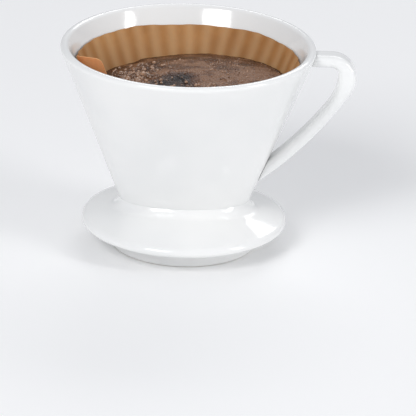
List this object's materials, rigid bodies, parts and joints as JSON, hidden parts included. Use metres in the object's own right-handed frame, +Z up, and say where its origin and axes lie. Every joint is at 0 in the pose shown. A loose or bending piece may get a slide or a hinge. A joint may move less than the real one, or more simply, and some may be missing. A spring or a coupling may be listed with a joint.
{
  "type": "pour over coffee dripper",
  "caption": "Porcelain pour-over dripper that stands on a mug: ribbed cone, saucer, locating ring and handle, with a paper filter full of blooming coffee.",
  "frame": {"origin": "on the axis of the cone, in the seat plane: the saucer's flat underside, which rests on a mug's rim", "axes": "+Z up the axis out of the cone's mouth, +X towards the handle"},
  "size_m": [0.1441, 0.1234, 0.102],
  "materials": {
    "porcelain": "gloss",
    "filter_paper": "matte",
    "paper_seam": "matte",
    "wet_grounds": "satin",
    "foam": "satin"
  },
  "bodies": {
    "dripper": {"filter_cone": "porcelain", "handle": "porcelain", "saucer": "porcelain", "locating_ring": "porcelain"},
    "filter": {"filter_paper": "filter_paper", "paper_side_seam": "paper_seam", "paper_bottom_seam": "paper_seam", "wet_grounds": "wet_grounds", "bloom_foam": "foam"}
  },
  "joints": [
    {"name": "filter_lift", "type": "slide", "parent": "dripper", "child": "filter", "axis": [0, 0, 1], "range_m": [0, 0.12]}
  ]
}
